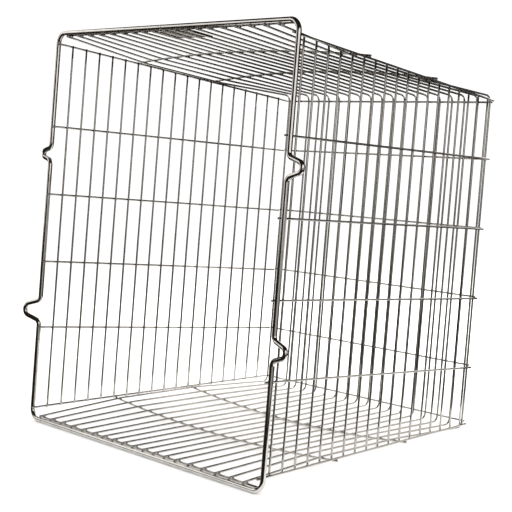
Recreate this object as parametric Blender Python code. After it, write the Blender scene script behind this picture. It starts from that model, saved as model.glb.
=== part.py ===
"""Wire mesh container: a tapered welded wire basket lying on one of its long walls.

The mouth faces -Y and the closed back +Y. The body is built square to the axes, with
the mouth upright, and is leaned back at the end onto the two places where it rests:
the lower run of the mouth frame and the second floor cross wire. Metres throughout.
"""
import math

import bmesh
import bpy
from mathutils import Matrix, Vector

for obj in list(bpy.data.objects):
    bpy.data.objects.remove(obj, do_unlink=True)

# --- wire stock and fit -------------------------------------------------------
RIM_WIRE = 0.007          # heavy mouth frame wire
MESH_WIRE = 0.003         # every other wire
GAP = 0.0003              # clearance left where two pieces touch
FUSE = 0.0004             # how far wires of one welded grid sink into each other
SIDES = 8                 # facets round a wire

# --- mouth frame --------------------------------------------------------------
RIM_LONG = 0.593          # centre line, along Z
RIM_SHORT = 0.537         # centre line, along X
RIM_CORNER = 0.016        # bend radius at the four corners
KINK_REACH = 0.027        # how far a kink stands out from the frame
KINK_BEND = 0.0085        # bend radius where it leaves the frame
# each kink: height above mid height, width where it leaves the frame, width of its outer
# end, bend radius there, degrees out of the frame's plane
KINKS = {("left", "up"): (0.1122, 0.0200, 0.0092, 0.0055, 10.0),
         ("left", "down"): (-0.1300, 0.0319, 0.0150, 0.0096, -23.0),
         ("right", "up"): (0.1134, 0.0262, 0.0108, 0.0068, -2.0),
         ("right", "down"): (-0.1166, 0.0262, 0.0108, 0.0068, -9.0)}

# --- body ---------------------------------------------------------------------
DEPTH = 0.4465            # mouth plane to the centre of the back wires
WALL_FRONT = 0.2595       # half width to the upright wires, at the mouth
WALL_BACK = 0.2260        # the same at the back
EDGE_FRONT = 0.2796       # half height to the edge wires, at the mouth
EDGE_BACK = 0.2391        # the same at the back
LEVELS = (-0.1545, -0.0515, 0.0515, 0.1545)   # lengthwise wires between the edges
UPRIGHTS = 18             # upright wires in each side wall
UPRIGHT_FIRST = 0.0193    # first upright behind the mouth plane
UPRIGHT_PITCH = 0.0238
UPRIGHT_STICK = 0.0017    # upright ends past the edge wire centre
WALL_START = -0.005       # where the lengthwise wires of a side wall begin
WALL_END = {"left": 0.4465, "right": 0.4362}   # and end; the right ones stop short
RAIL_DROP = 0.0020        # how much lower the right wall's four inner ones start
RAIL_SINK = {"left": (0.0005, 0.0012, 0.0018, 0.0006),
             "right": (0.0002, 0.0006, 0.0007, 0.0006)}   # each below its level, top first

# --- long U wires: ceiling, back and floor in one piece ------------------------
U_COUNT = 19
U_PITCH = 0.02435         # pitch at the back, and of the middle wires at the mouth
U_FAN_PITCH = 0.02826     # pitch of the five outer wires each side at the mouth
U_STRAIGHT = 4            # wires each side of the middle one that run parallel
U_SHIFT_FRONT = -0.0074   # the whole set sits a little left of centre
U_SHIFT_BACK = -0.0052
U_BEND = 0.010            # bend radius at the back
U_BACK_HALF = 0.2482      # half height of the U at the back
U_FRONT_Y = -0.0015       # wire ends stop on the mouth frame

# --- cross wires under floor and over ceiling ----------------------------------
CROSS_Y = (0.146, 0.293)
CROSS_CROWN = (0.2776, 0.2658)    # U wire centre height at the middle of each
CROSS_OVER = 0.0015       # cross wire ends past the wall's edge wire centre
FRONT_CROSS_Y = 0.0085
FRONT_CROSS_HALF = 0.256
BACK_LEFT = -0.2300       # ends of the back wires
BACK_RIGHT = 0.2155

# --- tag plate ----------------------------------------------------------------
TAG_WIDE = 0.076
TAG_DEEP = 0.038
TAG_THICK = 0.001
TAG_MIDDLE = 0.003        # sideways position of its middle
TAG_START = 0.0125        # front edge behind the mouth plane

STEP = MESH_WIRE + GAP    # centre distance of two crossing wires


def resting_lean():
    """Angle between the body's own length and the ground it lies on."""
    rise = RIM_LONG / 2 - CROSS_CROWN[1] - STEP
    run = CROSS_Y[1]
    corner = MESH_WIRE / 2 / math.cos(math.pi / SIDES)
    lean = math.atan2(rise, run)
    for _ in range(6):
        under = RIM_WIRE / 2 - corner * math.cos(math.pi / SIDES - lean)
        lean = math.atan2(rise, run) + math.asin(under / math.hypot(rise, run))
    return lean


LEAN = resting_lean()


def material(name, colour, rough, metal=1.0):
    mat = bpy.data.materials.new(name)
    mat.use_nodes = True
    shader = mat.node_tree.nodes["Principled BSDF"]
    shader.inputs["Base Color"].default_value = (*colour, 1.0)
    shader.inputs["Metallic"].default_value = metal
    shader.inputs["Roughness"].default_value = rough
    mat.diffuse_color = (*colour, 1.0)
    return mat


STEEL = (0.60, 0.59, 0.57)


def bend(points, radius, closed=False, segments=5):
    """Round the inner corners of a polyline."""
    out = []
    count = len(points)
    for i, here in enumerate(points):
        if not closed and i in (0, count - 1):
            out.append(here)
            continue
        r = radius[i] if isinstance(radius, (list, tuple)) else radius
        a = (points[i - 1] - here).normalized()
        b = (points[(i + 1) % count] - here).normalized()
        angle = a.angle(b)
        if r <= 0 or math.pi - angle < 1e-3:
            out.append(here)
            continue
        cut = r / math.tan(angle / 2)
        centre = here + (a + b).normalized() * (r / math.sin(angle / 2))
        start = here + a * cut - centre
        end = here + b * cut - centre
        sweep = start.angle(end)
        steps = max(2, round(segments * sweep / (math.pi / 2)))
        for k in range(steps + 1):
            t = k / steps
            low = math.sin((1 - t) * sweep) / math.sin(sweep)
            high = math.sin(t * sweep) / math.sin(sweep)
            out.append(centre + start * low + end * high)
    return out


def tube_mesh(bm, points, wire, axis, closed=False, twist=None):
    """Sweep an eight sided wire; two of its flats stay square to the axis.

    twist gives the turn of the section about the wire at a point, 0 without it.
    """
    apothem = wire / 2
    corner = apothem / math.cos(math.pi / SIDES)
    count = len(points)
    rings = []
    for i, here in enumerate(points):
        before = points[i - 1] if (closed or i > 0) else here
        after = points[(i + 1) % count] if (closed or i < count - 1) else here
        a = (here - before).normalized() if (here - before).length > 1e-9 else None
        b = (after - here).normalized() if (after - here).length > 1e-9 else None
        along = ((a or b) + (b or a)).normalized()
        side = axis.cross(along).normalized()
        other = along.cross(side).normalized()
        stretch = 1.0
        if a is not None and b is not None:
            stretch = 1.0 / max(0.5, math.cos(a.angle(b) / 2))
        ring = []
        phase = twist(here) if twist else 0.0
        for k in range(SIDES):
            turn = 2 * math.pi * (k + 0.5) / SIDES + phase
            offset = side * (math.cos(turn) * corner * stretch)
            offset += other * (math.sin(turn) * corner)
            ring.append(bm.verts.new(here + offset))
        rings.append(ring)
    last = count if closed else count - 1
    for i in range(last):
        lower, upper = rings[i], rings[(i + 1) % count]
        for k in range(SIDES):
            n = (k + 1) % SIDES
            bm.faces.new((lower[k], lower[n], upper[n], upper[k]))
    if not closed:
        bm.faces.new(list(reversed(rings[0])))
        bm.faces.new(rings[-1])


def finish(name, bm, mat):
    bmesh.ops.recalc_face_normals(bm, faces=bm.faces)
    bmesh.ops.triangulate(bm, faces=[f for f in bm.faces if len(f.verts) > 4])
    mesh = bpy.data.meshes.new(name)
    bm.to_mesh(mesh)
    bm.free()
    mesh.materials.append(mat)
    obj = bpy.data.objects.new(name, mesh)
    bpy.context.scene.collection.objects.link(obj)
    return obj


def tube(name, points, wire, axis, closed=False, rough=0.22, twist=None):
    bm = bmesh.new()
    tube_mesh(bm, points, wire, axis, closed, twist)
    return finish(name, bm, material(name + "_steel", STEEL, rough))


def wall_half(y):
    return WALL_FRONT + (WALL_BACK - WALL_FRONT) * y / DEPTH


def edge_half(y):
    return EDGE_FRONT + (EDGE_BACK - EDGE_FRONT) * y / DEPTH


X, Y, Z = Vector((1, 0, 0)), Vector((0, 1, 0)), Vector((0, 0, 1))


# --- mouth frame: one closed wire with four outward kinks ----------------------
def rim_path():
    half_x, half_z = RIM_SHORT / 2, RIM_LONG / 2
    points, radii = [], []

    def kink(side, where, direction):
        middle, base, tip, turn, lean = KINKS[(side, where)]
        lean = math.radians(lean)
        sign = -1 if side == "left" else 1
        reach = Vector((sign * math.cos(lean), math.sin(lean), 0)) * KINK_REACH
        for half, out in ((-base, 0), (-tip, 1), (tip, 1), (base, 0)):
            points.append(Vector((sign * half_x, 0, middle + half / 2 * direction)) + reach * out)
        radii.extend([KINK_BEND, turn, turn, KINK_BEND])

    points.append(Vector((-half_x, 0, -half_z)))
    radii.append(RIM_CORNER)
    points.append(Vector((half_x, 0, -half_z)))
    radii.append(RIM_CORNER)
    kink("right", "down", 1)
    kink("right", "up", 1)
    points.append(Vector((half_x, 0, half_z)))
    radii.append(RIM_CORNER)
    points.append(Vector((-half_x, 0, half_z)))
    radii.append(RIM_CORNER)
    kink("left", "up", -1)
    kink("left", "down", -1)
    return bend(points, radii, closed=True, segments=6)


def lower_run(point):
    """Turn the lower run so that a flat of it lies on the ground."""
    above = point.z + RIM_LONG / 2
    return LEAN * min(1.0, max(0.0, 1.0 - above / RIM_CORNER))


tube("rim", rim_path(), RIM_WIRE, Y, closed=True, rough=0.18, twist=lower_run)


# --- side walls -----------------------------------------------------------------
def side_wall(side):
    sign = -1 if side == "left" else 1
    inner = bmesh.new()
    for i in range(UPRIGHTS):
        y = UPRIGHT_FIRST + i * UPRIGHT_PITCH
        top = edge_half(y) + UPRIGHT_STICK
        x = sign * wall_half(y)
        tube_mesh(inner, [Vector((x, y, -top)), Vector((x, y, top))], MESH_WIRE, Y)
    outer = bmesh.new()
    for updown in (-1, 1):
        ends = []
        for y in (WALL_START, WALL_END[side]):
            x = sign * (wall_half(y) + MESH_WIRE - FUSE)
            ends.append(Vector((x, y, updown * edge_half(y))))
        tube_mesh(outer, ends, MESH_WIRE, Z)
    name = side + "_wall_grid"
    mat = material(name + "_steel", STEEL, 0.22)
    grid = finish(name, inner, mat)
    edges = finish(name + "_edges", outer, mat)
    join = grid.modifiers.new("weld", "BOOLEAN")
    join.operation = "UNION"
    join.solver = "EXACT"
    join.object = edges
    bpy.context.view_layer.update()
    shape = grid.evaluated_get(bpy.context.evaluated_depsgraph_get())
    welded = bpy.data.meshes.new_from_object(shape)
    grid.modifiers.remove(join)
    grid.data = welded
    bpy.data.objects.remove(edges, do_unlink=True)

    for number, level in enumerate(reversed(LEVELS), start=1):
        ends = []
        for y in (WALL_START, WALL_END[side]):
            x = sign * (wall_half(y) + STEP)
            drop = RAIL_DROP * (1 - y / DEPTH) if side == "right" else 0.0
            ends.append(Vector((x, y, level - drop - RAIL_SINK[side][number - 1])))
        tube(f"{side}_rail_{number}", ends, MESH_WIRE, Z)


side_wall("left")
side_wall("right")


# --- long U wires -----------------------------------------------------------------
def cross_height(x, which):
    """Centre height of a bowed cross wire at sideways position x."""
    y = CROSS_Y[which]
    crown = CROSS_CROWN[which] + STEP
    end = edge_half(y) + STEP
    half = wall_half(y) + MESH_WIRE
    return crown - (crown - end) * min(1.0, (x / half) ** 2)


def u_front(number):
    step = number - (U_COUNT - 1) / 2
    near = min(abs(step), U_STRAIGHT)
    far = abs(step) - near
    return math.copysign(near * U_PITCH + far * U_FAN_PITCH, step) + U_SHIFT_FRONT


def u_back(number):
    return (number - (U_COUNT - 1) / 2) * U_PITCH + U_SHIFT_BACK


U_FRONT_Z = RIM_LONG / 2 - RIM_WIRE / 2 - MESH_WIRE / 2 - GAP

for number in range(U_COUNT):
    front, back = u_front(number), u_back(number)
    half = [Vector((front, U_FRONT_Y, U_FRONT_Z))]
    for which, y in enumerate(CROSS_Y):
        x = front + (back - front) * y / DEPTH
        half.append(Vector((x, y, cross_height(x, which) - STEP)))
    half.append(Vector((back, DEPTH, U_BACK_HALF)))
    lower = [Vector((p.x, p.y, -p.z)) for p in reversed(half)]
    radii = [0, 0.12, 0.12, U_BEND, U_BEND, 0.12, 0.12, 0]
    path = bend(half + lower, radii, segments=6)
    tube(f"u_wire_{number + 1:02d}", path, MESH_WIRE, X)


# --- back rails -------------------------------------------------------------------
back_y = DEPTH + STEP
for number, level in enumerate((EDGE_BACK, *reversed(LEVELS), -EDGE_BACK), start=1):
    ends = [Vector((BACK_LEFT, back_y, level)), Vector((BACK_RIGHT, back_y, level))]
    tube(f"back_rail_{number}", ends, MESH_WIRE, Z)


# --- bowed cross wires, outside the U wires -----------------------------------------
def cross_wire(name, which, updown):
    y = CROSS_Y[which]
    half = wall_half(y) + STEP + CROSS_OVER
    count = 16
    path = []
    for k in range(count + 1):
        x = -half + 2 * half * k / count
        path.append(Vector((x, y, updown * cross_height(x, which))))
    tube(name, path, MESH_WIRE, Y)


for which in range(len(CROSS_Y)):
    cross_wire(f"ceiling_cross_{which + 1}", which, 1)
    cross_wire(f"floor_cross_{which + 1}", which, -1)

slope = (cross_height(0, 0) - STEP - U_FRONT_Z) / (CROSS_Y[0] - U_FRONT_Y)


def u_height(y):
    """Centre height of the middle U wires just behind the mouth."""
    return U_FRONT_Z + slope * (y - U_FRONT_Y)


for name, updown in (("ceiling_front_cross", 1), ("floor_front_cross", -1)):
    z = updown * (u_height(FRONT_CROSS_Y) + STEP + 0.0002)
    ends = [Vector((-FRONT_CROSS_HALF, FRONT_CROSS_Y, z)),
            Vector((FRONT_CROSS_HALF, FRONT_CROSS_Y, z))]
    tube(name, ends, MESH_WIRE, Y)


# --- plain tag plate on top of the ceiling wires --------------------------------------
def tag_plate():
    bm = bmesh.new()
    bmesh.ops.create_cube(bm, size=1.0)
    for v in bm.verts:
        y = TAG_START + (v.co.y + 0.5) * TAG_DEEP
        under = u_height(y) + MESH_WIRE / 2 + GAP
        v.co = Vector((TAG_MIDDLE + v.co.x * TAG_WIDE, y, under + (v.co.z + 0.5) * TAG_THICK))
    return finish("tag_plate", bm, material("tag_plate_steel", (0.66, 0.65, 0.63), 0.15))


tag_plate()

# --- lean the finished part back and stand it on the origin, under its own box --------
low = Vector((math.inf,) * 3)
high = Vector((-math.inf,) * 3)
lay = Matrix.Rotation(-LEAN, 4, "X")
parts = [o for o in bpy.data.objects if o.type == "MESH"]
for obj in parts:
    obj.data.transform(lay)
    for v in obj.data.vertices:
        low = Vector(map(min, low, v.co))
        high = Vector(map(max, high, v.co))
shift = Vector((-(low.x + high.x) / 2, -(low.y + high.y) / 2, -low.z))
for obj in parts:
    for v in obj.data.vertices:
        v.co += shift
    obj.data.update()
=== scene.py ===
"""Looks of the wire mesh container: bright round wire, weld nuggets, a polished tag plate."""
import math
import random

import bmesh
import bpy
from mathutils import Matrix, Vector


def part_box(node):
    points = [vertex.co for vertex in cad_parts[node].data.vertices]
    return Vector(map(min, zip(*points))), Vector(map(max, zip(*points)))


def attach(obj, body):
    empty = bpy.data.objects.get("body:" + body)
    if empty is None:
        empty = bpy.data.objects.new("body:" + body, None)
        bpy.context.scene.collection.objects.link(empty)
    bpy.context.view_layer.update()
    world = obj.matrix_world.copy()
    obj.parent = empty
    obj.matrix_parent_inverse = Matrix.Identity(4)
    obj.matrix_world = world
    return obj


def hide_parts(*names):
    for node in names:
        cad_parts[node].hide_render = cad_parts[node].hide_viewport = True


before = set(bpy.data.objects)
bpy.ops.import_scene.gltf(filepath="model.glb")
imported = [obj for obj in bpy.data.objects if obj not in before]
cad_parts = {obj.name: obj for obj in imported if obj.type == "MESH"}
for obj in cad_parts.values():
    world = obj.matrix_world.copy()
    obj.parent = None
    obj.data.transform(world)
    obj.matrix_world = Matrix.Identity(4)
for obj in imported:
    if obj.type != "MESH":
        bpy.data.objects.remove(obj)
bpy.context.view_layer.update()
X, Y, Z = Vector((1, 0, 0)), Vector((0, 1, 0)), Vector((0, 0, 1))

# --- sizes in metres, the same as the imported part's -------------------------------------
RIM_WIRE, MESH_WIRE, GAP = 0.007, 0.003, 0.0003
STEP = MESH_WIRE + GAP    # between the middles of two wires that cross
RIM_LONG, RIM_SHORT, RIM_CORNER = 0.593, 0.537, 0.016
KINK_REACH, KINK_BEND = 0.027, 0.0085
# A kink's middle height, width at the base and at the tip, bend at the tip, tilt in degrees.
KINKS = {("left", "up"): (0.1122, 0.0200, 0.0092, 0.0055, 10.0),
         ("left", "down"): (-0.1300, 0.0319, 0.0150, 0.0096, -23.0),
         ("right", "up"): (0.1134, 0.0262, 0.0108, 0.0068, -2.0),
         ("right", "down"): (-0.1166, 0.0262, 0.0108, 0.0068, -9.0)}
DEPTH = 0.4465
WALL_FRONT, WALL_BACK = 0.2595, 0.2260
EDGE_FRONT, EDGE_BACK = 0.2796, 0.2391
LEVELS = (-0.1545, -0.0515, 0.0515, 0.1545)
UPRIGHTS, UPRIGHT_FIRST, UPRIGHT_PITCH, UPRIGHT_STICK = 18, 0.0193, 0.0238, 0.0017
U_COUNT, U_PITCH, U_FAN_PITCH, U_STRAIGHT = 19, 0.02435, 0.02826, 4
U_SHIFT_FRONT, U_SHIFT_BACK = -0.0074, -0.0052
U_BEND, U_SOFT_BEND, U_BACK_HALF, U_FRONT_Y = 0.010, 0.12, 0.2482, -0.0015
CROSS_Y, CROSS_CROWN, CROSS_OVER = (0.146, 0.293), (0.2776, 0.2658), 0.0015
FRONT_CROSS_Y, FRONT_CROSS_HALF, FRONT_CROSS_LIFT = 0.0085, 0.256, 0.0002
BACK_LEFT, BACK_RIGHT = -0.2300, 0.2155
WALL_START, WALL_END, RAIL_DROP = -0.005, {"left": 0.4465, "right": 0.4362}, 0.0020
RAIL_SINK = {"left": (0.0005, 0.0012, 0.0018, 0.0006), "right": (0.0002, 0.0006, 0.0007, 0.0006)}
EDGE_TUCK = 0.0001        # how far the edge wires sink into the uprights
TAG_WIDE, TAG_DEEP, TAG_THICK = 0.076, 0.038, 0.001
TAG_MIDDLE, TAG_START, TAG_CORNER, TAG_EDGE = 0.003, 0.0125, 0.0025, 0.00018

# --- looks of the wire and its welds -------------------------------------------------------
RIM_JOINT = -0.012        # where the rim wire's two ends meet, on the upper run
JOINT_REACH, JOINT_STATIONS = 0.02, 50
RING_WIDE, RING_RISE = 0.0009, 0.035             # metres, share of the wire's radius
GROOVE_DEEP, GROOVE_OFF, GROOVE_WIDE = 0.05, 2.2, 0.6    # share of the radius, ring widths
WANDER, WANDER_WAVES = (0.00003, 0.00012), 7.0   # metres from straight, radians in a length
LINE_PITCH, RIM_PITCH, CROSS_STATIONS = 0.03, 0.02, 48
CUT_LONG, CUT_WIDE = 0.18, 0.80                  # shares of the wire's radius at a cut end
NUGGET_WIDE, NUGGET_TALL = 0.00128, 0.00062      # half width and half height of size 1
EDGE_NUGGET, RAIL_NUGGET, U_NUGGET = (1.25, 1.3), (1.25, 1.5), (1.2, 1.3)    # at the rim
EDGE_WELD_IN, RAIL_WELD_IN, U_WELD_IN = 0.0002, 0.0004, 0.0001    # inside the rim's wire
CROSS_END_NUGGET = 1.1
CAP_GRAIN, TAG_GRAIN = 300, 40                   # texture lengths in a metre

# --- where the body stands: leaned back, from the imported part's own boxes ------------------
rim_low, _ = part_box("rim")
front_low, front_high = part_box("ceiling_front_cross")
rail_low, rail_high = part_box("back_rail_1")
last_low, last_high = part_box("back_rail_6")
across = Vector((0.0, *((rail_low + rail_high - last_low - last_high) / 2).yz))
turn = Matrix.Rotation(-math.atan2(across.y, across.z), 4, "X")
foot = turn @ Vector((0, 0, -RIM_LONG / 2))
BODY = Matrix.Translation((
    (front_low.x + front_high.x) / 2,
    rim_low.y + RIM_WIRE / 2 - foot.y,
    rim_low.z + RIM_WIRE / 2 - foot.z)) @ turn


# --- materials ----------------------------------------------------------------------------
def node(tree, kind, **values):
    """A new node. Each value goes to the input of that name, or else to the attribute."""
    made = tree.nodes.new(kind)
    for name, value in values.items():
        if name in made.inputs:
            made.inputs[name].default_value = value
        else:
            setattr(made, name, value)
    return made


def ramp(tree, source, stops):
    """A colour ramp on a value, from (place, grey or colour) stops."""
    made = tree.nodes.new("ShaderNodeValToRGB")
    while len(made.color_ramp.elements) < len(stops):
        made.color_ramp.elements.new(0.5)
    for element, (place, colour) in zip(made.color_ramp.elements, stops):
        element.position = place
        element.color = (*colour, 1.0) if isinstance(colour, tuple) else (colour,) * 3 + (1.0,)
    tree.links.new(source, made.inputs["Fac"])
    return made.outputs["Color"]


def multiply(tree, factor, low, high):
    made = node(tree, "ShaderNodeMix", data_type="RGBA", blend_type="MULTIPLY")
    made.inputs["Factor"].default_value = factor
    tree.links.new(low, made.inputs["A"])
    tree.links.new(high, made.inputs["B"])
    return made.outputs["Result"]


def halved(tree, source):
    made = node(tree, "ShaderNodeMath", operation="MULTIPLY")
    made.inputs[1].default_value = 0.5
    tree.links.new(source, made.inputs[0])
    return made.outputs["Value"]


def steel(name, light, dark, smooth, rough, grain, spots=0.25, tint=None, drawn=True):
    """Bright steel with cloudy patches, small dull spots and, if drawn, grain along the wire."""
    mat = bpy.data.materials.new(name)
    mat.use_nodes = True
    tree = mat.node_tree
    shader = tree.nodes["Principled BSDF"]
    shader.inputs["Metallic"].default_value = 1.0
    shader.inputs["Specular IOR Level"].default_value = 0.5
    link = tree.links.new
    place = node(tree, "ShaderNodeTexCoord")
    along = node(tree, "ShaderNodeMapping")
    along.inputs["Scale"].default_value = (26.0, 0.9, 1.0) if drawn else (700.0,) * 3
    link(place.outputs["UV" if drawn else "Object"], along.inputs["Vector"])
    lines = node(tree, "ShaderNodeTexNoise", Scale=2.0, Detail=5.0, Roughness=0.65)
    link(along.outputs["Vector"], lines.inputs["Vector"])
    cloud = node(tree, "ShaderNodeTexNoise", Scale=38.0, Detail=4.0, Roughness=0.6)
    link(place.outputs["Object"], cloud.inputs["Vector"])
    pits = node(tree, "ShaderNodeTexVoronoi", Scale=420.0)
    link(place.outputs["Object"], pits.inputs["Vector"])

    tone = ramp(tree, cloud.outputs["Fac"], [(0.30, dark), (0.62, light)])
    dull = ramp(tree, pits.outputs["Distance"], [(0.02, 0.0), (0.16, 1.0)])
    colour = multiply(tree, spots, tone, dull)
    if tint:
        heat = ramp(tree, lines.outputs["Fac"], [(0.35, tint), (0.7, (1.0, 1.0, 1.0))])
        colour = multiply(tree, 0.8, colour, heat)
    link(colour, shader.inputs["Base Color"])

    spread = node(tree, "ShaderNodeMath", operation="ADD")
    link(halved(tree, lines.outputs["Fac"]), spread.inputs[0])
    link(halved(tree, cloud.outputs["Fac"]), spread.inputs[1])
    sheen = node(tree, "ShaderNodeMapRange", **{"From Min": 0.3, "From Max": 0.7,
                                                "To Min": smooth, "To Max": rough})
    link(spread.outputs["Value"], sheen.inputs["Value"])
    link(sheen.outputs["Result"], shader.inputs["Roughness"])

    relief = node(tree, "ShaderNodeBump", Strength=grain, Distance=0.0004)
    link(lines.outputs["Fac"], relief.inputs["Height"])
    link(relief.outputs["Normal"], shader.inputs["Normal"])
    return mat


RIM_STEEL = steel("rim_bright_steel", (0.74, 0.725, 0.70), (0.60, 0.58, 0.55),
                  smooth=0.05, rough=0.16, grain=0.06)
WIRE_STEEL = steel("wire_bright_steel", (0.53, 0.51, 0.485), (0.41, 0.39, 0.365),
                   smooth=0.05, rough=0.13, grain=0.06)
WELD_STEEL = steel("weld_steel", (0.42, 0.39, 0.35), (0.16, 0.14, 0.12),
                   smooth=0.22, rough=0.45, grain=0.5, spots=0.5, tint=(0.75, 0.62, 0.48),
                   drawn=False)
CUT_STEEL = steel("cut_end_steel", (0.50, 0.49, 0.47), (0.30, 0.29, 0.27),
                  smooth=0.30, rough=0.50, grain=0.4, spots=0.4)
TAG_STEEL = steel("tag_polished_steel", (0.80, 0.79, 0.78), (0.72, 0.71, 0.69),
                  smooth=0.03, rough=0.10, grain=0.02, spots=0.10)
WIRES = [WIRE_STEEL, CUT_STEEL]    # a wire's side, its cut ends


# --- wire making --------------------------------------------------------------------------
def bend(points, radius, closed=False, quarter=14):
    """A polyline with rounded corners; radius is one number, or one for each point."""
    out = []
    count = len(points)
    for i, here in enumerate(points):
        if not closed and i in (0, count - 1):
            out.append(here)
            continue
        r = radius[i] if isinstance(radius, (list, tuple)) else radius
        a = (points[i - 1] - here).normalized()
        b = (points[(i + 1) % count] - here).normalized()
        angle = a.angle(b)
        if r <= 0 or math.pi - angle < 1e-3:
            out.append(here)
            continue
        cut = r / math.tan(angle / 2)
        centre = here + (a + b).normalized() * (r / math.sin(angle / 2))
        start = here + a * cut - centre
        end = here + b * cut - centre
        arc = start.angle(end)
        steps = max(3, round(quarter * arc / (math.pi / 2)))
        for k in range(steps + 1):
            t = k / steps
            low = math.sin((1 - t) * arc) / math.sin(arc)
            high = math.sin(t * arc) / math.sin(arc)
            out.append(centre + start * low + end * high)
    return out


def finer(points, pitch, closed=False):
    """The same path with extra points on its long straight runs."""
    out = []
    last = len(points) if closed else len(points) - 1
    for i in range(last):
        a, b = points[i], points[(i + 1) % len(points)]
        steps = max(1, round((b - a).length / pitch))
        out += [a.lerp(b, k / steps) for k in range(steps)]
    return out if closed else out + [points[-1]]


def sweep(bm, points, wire, axis, closed=False, sides=16, swell=None):
    """A round wire along a path, with chamfered cut ends and a grain that follows it."""
    layer = bm.loops.layers.uv.verify()
    radius = wire / 2
    centres = list(points)
    if not closed:
        first = (points[1] - points[0]).normalized()
        final = (points[-2] - points[-1]).normalized()
        chamfer = radius * CUT_LONG
        centres = ([points[0], points[0] + first * chamfer] + list(points[1:-1])
                   + [points[-1] + final * chamfer, points[-1]])
    count = len(centres)
    rings, marks, run = [], [], 0.0
    for i, here in enumerate(centres):
        before = centres[i - 1] if (closed or i > 0) else None
        after = centres[(i + 1) % count] if (closed or i < count - 1) else None
        a = (here - before).normalized() if before is not None else None
        b = (after - here).normalized() if after is not None else None
        tangent = ((a or b) + (b or a)).normalized()
        side = axis.cross(tangent).normalized()
        other = tangent.cross(side).normalized()
        r = radius * (CUT_WIDE if not closed and i in (0, count - 1) else 1.0)
        r *= swell(here) if swell else 1.0
        rings.append([bm.verts.new(here + side * (math.cos(t) * r) + other * (math.sin(t) * r))
                      for t in (2 * math.pi * k / sides for k in range(sides))])
        if i:
            run += (here - centres[i - 1]).length
        marks.append(run / (math.pi * wire))
    last = count if closed else count - 1
    for i in range(last):
        j = (i + 1) % count
        ends = (marks[i], marks[j] if j else marks[i] + 1.0)
        for k in range(sides):
            n = (k + 1) % sides
            face = bm.faces.new((rings[i][k], rings[i][n], rings[j][n], rings[j][k]))
            face.smooth = True
            for loop, uv in zip(face.loops, ((k, 0), (k + 1, 0), (k + 1, 1), (k, 1))):
                loop[layer].uv = (uv[0] / sides, ends[uv[1]])
    if not closed:
        for ring in (list(reversed(rings[0])), rings[-1]):
            cap = bm.faces.new(ring)
            cap.material_index = 1
            for loop in cap.loops:
                loop[layer].uv = (loop.vert.co.x * CAP_GRAIN, loop.vert.co.z * CAP_GRAIN)


def piece(name, bm, mats, stands_for):
    """A visible piece on the body, in place of the CAD nodes that it stands for."""
    bmesh.ops.recalc_face_normals(bm, faces=bm.faces)
    bm.transform(BODY)
    mesh = bpy.data.meshes.new(name)
    bm.to_mesh(mesh)
    bm.free()
    for mat in mats:
        mesh.materials.append(mat)
    obj = bpy.data.objects.new(name, mesh)
    bpy.context.scene.collection.objects.link(obj)
    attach(obj, "root")
    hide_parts(*stands_for)


rng = random.Random(7)


def straight(bm, start, end, axis=Z):
    """A straight wire that wanders a little, as drawn and cut wire does."""
    line = end - start
    side = axis.cross(line).normalized()
    phase, size = rng.uniform(0, 6.28), rng.uniform(*WANDER)
    count = max(6, round(line.length / LINE_PITCH))
    path = []
    for k in range(count + 1):
        t = k / count
        off = math.sin(phase + WANDER_WAVES * t) * size * math.sin(math.pi * t)
        path.append(start + line * t + side * off)
    sweep(bm, path, MESH_WIRE, axis)


welds = {}    # for each group, the place, facing, size and fullness of its nuggets


def weld(group, place, normal, size=1.0, full=1.0):
    welds.setdefault(group, []).append((place, normal, size, full))


def wall_half(y):
    """Half the width between the two walls' uprights, at a distance from the mouth."""
    return WALL_FRONT + (WALL_BACK - WALL_FRONT) * y / DEPTH


def edge_half(y):
    """Half the height between a wall's two edge wires, at a distance from the mouth."""
    return EDGE_FRONT + (EDGE_BACK - EDGE_FRONT) * y / DEPTH


# --- rim -----------------------------------------------------------------------------------
def rim_path():
    """Corners of the rim wire with their bend radii, once round the mouth."""
    half_x, half_z = RIM_SHORT / 2, RIM_LONG / 2
    points, radii = [], []

    def kink(side, where, direction):
        middle, base, tip, tip_bend, tilt = KINKS[(side, where)]
        tilt = math.radians(tilt)
        sign = -1 if side == "left" else 1
        reach = Vector((sign * math.cos(tilt), math.sin(tilt), 0)) * KINK_REACH
        corners = ((-base, 0, KINK_BEND), (-tip, 1, tip_bend),
                   (tip, 1, tip_bend), (base, 0, KINK_BEND))
        for width, out, radius in corners:
            z = middle + width / 2 * direction
            points.append(Vector((sign * half_x, 0, z)) + reach * out)
            radii.append(radius)

    points += [Vector((-half_x, 0, -half_z)), Vector((half_x, 0, -half_z))]
    radii += [RIM_CORNER] * 2
    kink("right", "down", 1)
    kink("right", "up", 1)
    points += [Vector((half_x, 0, half_z)), Vector((-half_x, 0, half_z))]
    radii += [RIM_CORNER] * 2
    kink("left", "up", -1)
    kink("left", "down", -1)
    return points, radii


def rim_swell(here):
    """The upset ring of the butt weld, with a fine groove on each side."""
    if here.z < RIM_LONG / 2 - 0.001:
        return 1.0
    off = (here.x - RIM_JOINT) / RING_WIDE
    groove = math.exp(-((abs(off) - GROOVE_OFF) / GROOVE_WIDE) ** 2)
    return 1.0 + RING_RISE * math.exp(-off * off) - GROOVE_DEEP * groove


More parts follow.
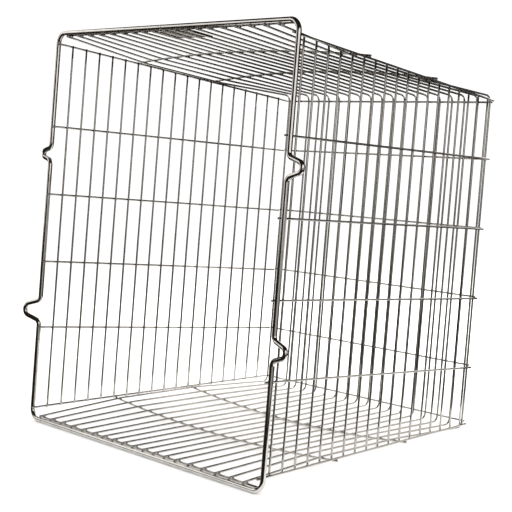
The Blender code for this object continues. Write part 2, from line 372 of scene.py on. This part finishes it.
path = finer(bend(*rim_path(), closed=True), RIM_PITCH, closed=True)
dense = []
for i, here in enumerate(path):
    dense.append(here)
    after = path[(i + 1) % len(path)]
    if (here.z > RIM_LONG / 2 - 1e-6 and after.x < RIM_JOINT + JOINT_REACH
            and here.x > RIM_JOINT - JOINT_REACH):
        dense += [here.lerp(after, k / JOINT_STATIONS) for k in range(1, JOINT_STATIONS)]
bm = bmesh.new()
sweep(bm, dense, RIM_WIRE, Y, closed=True, sides=28, swell=rim_swell)
piece("rim_wire", bm, [RIM_STEEL], ["rim"])
RIM_INNER_X, RIM_INNER_Z = RIM_SHORT / 2 - RIM_WIRE / 2, RIM_LONG / 2 - RIM_WIRE / 2


# --- side walls ----------------------------------------------------------------------------
def rail_level(side, number, y):
    """Height of a wall's horizontal; those of the right wall drop towards the mouth."""
    drop = RAIL_DROP * (1 - y / DEPTH) if side == "right" else 0.0
    return LEVELS[4 - number] - drop - RAIL_SINK[side][number - 1]


for side in ("left", "right"):
    sign = -1 if side == "left" else 1
    bm = bmesh.new()
    for i in range(UPRIGHTS):
        y = UPRIGHT_FIRST + i * UPRIGHT_PITCH
        top = edge_half(y) + UPRIGHT_STICK
        x = sign * wall_half(y)
        straight(bm, Vector((x, y, -top)), Vector((x, y, top)), axis=Y)
        rails = [rail_level(side, number, y) for number in (4, 3, 2, 1)]
        for level in (*rails, edge_half(y), -edge_half(y)):
            weld(side + "_wall", Vector((x + sign * STEP / 2, y, level)), X, rng.uniform(0.9, 1.1))
    for updown in (-1, 1):
        straight(bm, *(Vector((sign * (wall_half(y) + MESH_WIRE - EDGE_TUCK), y,
                               updown * edge_half(y))) for y in (WALL_START, WALL_END[side])))
        weld("rim", Vector((sign * (RIM_INNER_X - EDGE_WELD_IN), 0, updown * edge_half(0))), X,
             *EDGE_NUGGET)
    piece(side + "_wall_wires", bm, WIRES, [side + "_wall_grid"])
    for number in (1, 2, 3, 4):
        bm = bmesh.new()
        straight(bm, *(Vector((sign * (wall_half(y) + STEP), y, rail_level(side, number, y)))
                       for y in (WALL_START, WALL_END[side])))
        name = f"{side}_rail_{number}"
        piece(name + "_wire", bm, WIRES, [name])
        weld("rim", Vector((sign * (RIM_INNER_X - RAIL_WELD_IN), 0, rail_level(side, number, 0))),
             X, *RAIL_NUGGET)


# --- U wires and the back's horizontals ------------------------------------------------------
def cross_height(x, which):
    """Height of a bowed cross wire above the middle plane."""
    y = CROSS_Y[which]
    crown = CROSS_CROWN[which] + STEP
    end = edge_half(y) + STEP
    half = wall_half(y) + MESH_WIRE
    return crown - (crown - end) * min(1.0, (x / half) ** 2)


def u_front(number):
    """Where a U wire starts at the rim: the outer ones fan out."""
    step = number - (U_COUNT - 1) / 2
    near = min(abs(step), U_STRAIGHT)
    far = abs(step) - near
    return math.copysign(near * U_PITCH + far * U_FAN_PITCH, step) + U_SHIFT_FRONT


def u_back(number):
    return (number - (U_COUNT - 1) / 2) * U_PITCH + U_SHIFT_BACK


U_FRONT_Z = RIM_INNER_Z - MESH_WIRE / 2 - GAP
slope = (cross_height(0, 0) - STEP - U_FRONT_Z) / (CROSS_Y[0] - U_FRONT_Y)


def u_height(y):
    return U_FRONT_Z + slope * (y - U_FRONT_Y)


for number in range(U_COUNT):
    front, back = u_front(number), u_back(number)
    half = [Vector((front, U_FRONT_Y, U_FRONT_Z))]
    for which, y in enumerate(CROSS_Y):
        x = front + (back - front) * y / DEPTH
        half.append(Vector((x, y, cross_height(x, which) - STEP)))
        for updown, where in ((1, "ceiling"), (-1, "floor")):
            weld(where, Vector((x, y, updown * (cross_height(x, which) - STEP / 2))), Z,
                 rng.uniform(0.9, 1.15))
    half.append(Vector((back, DEPTH, U_BACK_HALF)))
    lower = [Vector((p.x, p.y, -p.z)) for p in reversed(half)]
    radii = [0, U_SOFT_BEND, U_SOFT_BEND, U_BEND]
    path = bend(half + lower, radii + radii[::-1])
    bm = bmesh.new()
    sweep(bm, finer(path, LINE_PITCH), MESH_WIRE, X)
    name = f"u_wire_{number + 1:02d}"
    piece(name + "_round", bm, WIRES, [name])
    for updown in (-1, 1):
        weld("rim", Vector((front, 0.0, updown * (RIM_INNER_Z - U_WELD_IN))), Z, *U_NUGGET)
        x = front + (back - front) * FRONT_CROSS_Y / DEPTH
        weld("ceiling" if updown > 0 else "floor",
             Vector((x, FRONT_CROSS_Y, updown * (u_height(FRONT_CROSS_Y) + STEP / 2))), Z)
    for level in (EDGE_BACK, *LEVELS, -EDGE_BACK):
        weld("back", Vector((back, DEPTH + STEP / 2, level)), Y, rng.uniform(0.9, 1.1))

for number, level in enumerate((EDGE_BACK, *reversed(LEVELS), -EDGE_BACK), start=1):
    bm = bmesh.new()
    straight(bm, *(Vector((x, DEPTH + STEP, level)) for x in (BACK_LEFT, BACK_RIGHT)))
    piece(f"back_rail_{number}_wire", bm, WIRES, [f"back_rail_{number}"])

# --- cross wires ---------------------------------------------------------------------------
for which, y in enumerate(CROSS_Y):
    for updown, where in ((1, "ceiling"), (-1, "floor")):
        half = wall_half(y) + STEP + CROSS_OVER
        xs = (-half + 2 * half * k / CROSS_STATIONS for k in range(CROSS_STATIONS + 1))
        bm = bmesh.new()
        sweep(bm, [Vector((x, y, updown * cross_height(x, which))) for x in xs], MESH_WIRE, Y)
        name = f"{where}_cross_{which + 1}"
        piece(name + "_wire", bm, WIRES, [name])
        for sign in (-1, 1):
            weld(where, Vector((sign * (wall_half(y) + MESH_WIRE), y,
                                updown * (edge_half(y) + STEP / 2))), Z, CROSS_END_NUGGET)

for where, updown in (("ceiling", 1), ("floor", -1)):
    z = updown * (u_height(FRONT_CROSS_Y) + STEP + FRONT_CROSS_LIFT)
    bm = bmesh.new()
    straight(bm, *(Vector((x, FRONT_CROSS_Y, z)) for x in (-FRONT_CROSS_HALF, FRONT_CROSS_HALF)),
             axis=Y)
    piece(where + "_front_cross_wire", bm, WIRES, [where + "_front_cross"])


# --- weld nuggets --------------------------------------------------------------------------
def unit_sphere(around=12, layers=6):
    """Points and faces of a coarse ball of radius 1."""
    spots, faces = [Vector((0, 0, 1))], []
    for i in range(1, layers):
        t = math.pi * i / layers
        spots += [Vector((math.sin(t) * math.cos(u), math.sin(t) * math.sin(u), math.cos(t)))
                  for u in (2 * math.pi * k / around for k in range(around))]
    spots.append(Vector((0, 0, -1)))
    last = len(spots) - 1
    for k in range(around):
        n = (k + 1) % around
        faces.append((0, 1 + k, 1 + n))
        for i in range(layers - 2):
            a = 1 + i * around
            faces.append((a + k, a + around + k, a + around + n, a + n))
        a = 1 + (layers - 2) * around
        faces.append((a + k, last, a + n))
    return spots, faces


def nuggets(group, places):
    """Low lens-shaped flash squeezed out between two crossing wires."""
    spots, faces = unit_sphere()
    verts, polygons = [], []
    for place, normal, size, full in places:
        wide = NUGGET_WIDE * size
        tall = NUGGET_TALL * size * full
        turn_to = normal.to_track_quat("Z", "Y").to_matrix().to_4x4()
        spin = Matrix.Rotation(rng.uniform(0, math.pi), 4, "Z")
        squeeze = Matrix.Diagonal((wide * rng.uniform(0.94, 1.08), wide, tall, 1.0))
        move = BODY @ Matrix.Translation(place) @ turn_to @ spin @ squeeze
        base = len(verts)
        verts += [move @ (p * (1 + rng.uniform(-0.06, 0.08))) for p in spots]
        polygons += [tuple(base + i for i in face) for face in faces]
    mesh = bpy.data.meshes.new(group + "_welds")
    mesh.from_pydata(verts, [], polygons)
    mesh.shade_smooth()
    mesh.materials.append(WELD_STEEL)
    obj = bpy.data.objects.new(group + "_welds", mesh)
    bpy.context.scene.collection.objects.link(obj)
    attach(obj, "root")


for group, places in welds.items():
    nuggets(group, places)


# --- tag plate -----------------------------------------------------------------------------
def tag_plate():
    """A thin plate with rounded corners and eased edges, lying on the ceiling wires."""
    bm = bmesh.new()
    layer = bm.loops.layers.uv.verify()
    steps = 6
    outline = []
    for cx, cy, start in ((1, 1, 0), (-1, 1, 90), (-1, -1, 180), (1, -1, 270)):
        for k in range(steps + 1):
            angle = math.radians(start + 90 * k / steps)
            x = cx * (TAG_WIDE / 2 - TAG_CORNER) + TAG_CORNER * math.cos(angle)
            y = cy * (TAG_DEEP / 2 - TAG_CORNER) + TAG_CORNER * math.sin(angle)
            outline.append(Vector((x, y, 0)))
    layers = ((-TAG_THICK / 2, TAG_EDGE), (-TAG_THICK / 2 + TAG_EDGE, 0),
              (TAG_THICK / 2 - TAG_EDGE, 0), (TAG_THICK / 2, TAG_EDGE))
    rings = []
    for height, inset in layers:
        rings.append([bm.verts.new(p * (1 - inset / p.length) + Z * height) for p in outline])
    for low, high in zip(rings, rings[1:]):
        for k in range(len(outline)):
            n = (k + 1) % len(outline)
            bm.faces.new((low[k], low[n], high[n], high[k]))
    bm.faces.new(list(reversed(rings[0])))
    bm.faces.new(rings[-1])
    middle = TAG_START + TAG_DEEP / 2
    for v in bm.verts:
        y = middle + v.co.y
        base = u_height(y) + MESH_WIRE / 2 + GAP
        v.co = Vector((TAG_MIDDLE + v.co.x, y, base + v.co.z + TAG_THICK / 2))
    for face in bm.faces:
        for loop in face.loops:
            loop[layer].uv = (loop.vert.co.y * TAG_GRAIN, loop.vert.co.x * TAG_GRAIN)
    piece("tag_plate_polished", bm, [TAG_STEEL], ["tag_plate"])


tag_plate()


# --- studio: pale floor, white card under the body, soft light -------------------------------
def pale(name, level):
    mat = bpy.data.materials.new(name)
    mat.use_nodes = True
    shader = mat.node_tree.nodes["Principled BSDF"]
    shader.inputs["Base Color"].default_value = (level, level, level, 1.0)
    shader.inputs["Roughness"].default_value = 0.9
    shader.inputs["Specular IOR Level"].default_value = 0.1
    return mat


def stage(name, bm, mat):
    """A thing of the studio, which rides on no body."""
    mesh = bpy.data.meshes.new(name)
    bmesh.ops.recalc_face_normals(bm, faces=bm.faces)
    bm.to_mesh(mesh)
    bm.free()
    mesh.materials.append(mat)
    obj = bpy.data.objects.new(name, mesh)
    bpy.context.scene.collection.objects.link(obj)
    return obj


def flat_disc(radius, height):
    bm = bmesh.new()
    bmesh.ops.create_circle(bm, cap_ends=True, segments=96, radius=radius)
    bmesh.ops.translate(bm, verts=bm.verts, vec=(0, 0, height))
    return bm


def flat_card(low, high, height):
    bm = bmesh.new()
    corners = ((low[0], low[1]), (high[0], low[1]), (high[0], high[1]), (low[0], high[1]))
    bm.faces.new([bm.verts.new((x, y, height)) for x, y in corners])
    return bm


# The metal reflects the card and a dark room beyond it, and not the floor.
PAPER, FLOOR_RADIUS, FLOOR_HEIGHT = 0.92, 3.0, -0.0002
CARD_LOW, CARD_HIGH, CARD_HEIGHT = (-0.60, -0.275), (0.60, 0.31), -0.0001
floor = stage("pale_floor", flat_disc(FLOOR_RADIUS, FLOOR_HEIGHT), pale("pale_paper", PAPER))
floor.visible_glossy = False
card = stage("white_card", flat_card(CARD_LOW, CARD_HIGH, CARD_HEIGHT), pale("white_card", PAPER))
card.visible_camera = False
card.visible_diffuse = False
card.visible_shadow = False

world = bpy.data.worlds.new("studio")
bpy.context.scene.world = world
world.use_nodes = True
tree = world.node_tree
tree.nodes.clear()
link = tree.links.new
out = node(tree, "ShaderNodeOutputWorld")
rays = node(tree, "ShaderNodeLightPath")
# The camera sees white, the metal reflects a dark room, and all else gets an even fill.
seen = node(tree, "ShaderNodeBackground", Color=(1.0, 1.0, 1.0, 1.0), Strength=1.1)
room = node(tree, "ShaderNodeBackground", Color=(0.018, 0.014, 0.011, 1.0), Strength=1.0)
fill = node(tree, "ShaderNodeBackground", Color=(1.0, 0.995, 0.985, 1.0), Strength=1.17)
unseen = node(tree, "ShaderNodeMixShader")
sky = node(tree, "ShaderNodeMixShader")
link(rays.outputs["Is Glossy Ray"], unseen.inputs["Fac"])
link(fill.outputs["Background"], unseen.inputs[1])
link(room.outputs["Background"], unseen.inputs[2])
link(rays.outputs["Is Camera Ray"], sky.inputs["Fac"])
link(unseen.outputs["Shader"], sky.inputs[1])
link(seen.outputs["Background"], sky.inputs[2])
link(sky.outputs["Shader"], out.inputs["Surface"])


def softbox(name, place, target, size, power):
    data = bpy.data.lights.new(name, "AREA")
    data.shape = "RECTANGLE"
    data.size, data.size_y = size
    data.energy = power
    data.color = (1.0, 0.985, 0.96)
    lamp = bpy.data.objects.new(name, data)
    bpy.context.scene.collection.objects.link(lamp)
    lamp.location = place
    lamp.rotation_euler = (Vector(target) - Vector(place)).to_track_quat("-Z", "Y").to_euler()
    lamp.visible_camera = False


# Name, place, the point that it faces, width and height, power.
softbox("key_softbox", (-1.556, -1.34, 1.10), (0, -0.25, 1.10), (1.2, 1.5), 6.0)
softbox("right_softbox", (1.30, -0.75, 0.81), (0, -0.75, 0.81), (1.7, 0.78), 5.0)
softbox("right_low_softbox", (1.30, -0.75, 0.20), (0, -0.75, 0.20), (1.7, 0.44), 0.95)
softbox("left_top_softbox", (-1.75, -0.1, 1.30), (0, -0.1, 0.45), (1.8, 0.55), 3.0)
softbox("low_backdrop", (0.9, 1.12, 0.10), (0.9, 0, 0.10), (3.0, 0.20), 1.2)
softbox("low_back_left_panel", (-0.45, 1.01, 0.53), (-0.45, 1.01, 0), (1.3, 1.4), 11.5)
softbox("low_back_right_panel", (1.10, 1.13, 0.53), (1.10, 1.13, 0), (1.8, 1.16), 6.0)

# --- camera --------------------------------------------------------------------------------
camera = bpy.data.cameras.new("camera")
camera.sensor_width = 36.0
camera.lens = 95.15
eye = bpy.data.objects.new("camera", camera)
bpy.context.scene.collection.objects.link(eye)
forward = Vector((-0.74581, 0.65622, -0.11464)).normalized()
right = Vector((0.66020, 0.75108, 0.00426)).normalized()
up = right.cross(forward).normalized()
right = forward.cross(up).normalized()
pose = Matrix((right, up, -forward)).transposed().to_4x4()
pose.translation = Vector((1.50325, -1.34766, 0.49383))
eye.matrix_world = pose
bpy.context.scene.camera = eye
bpy.context.scene.view_settings.view_transform = "Standard"
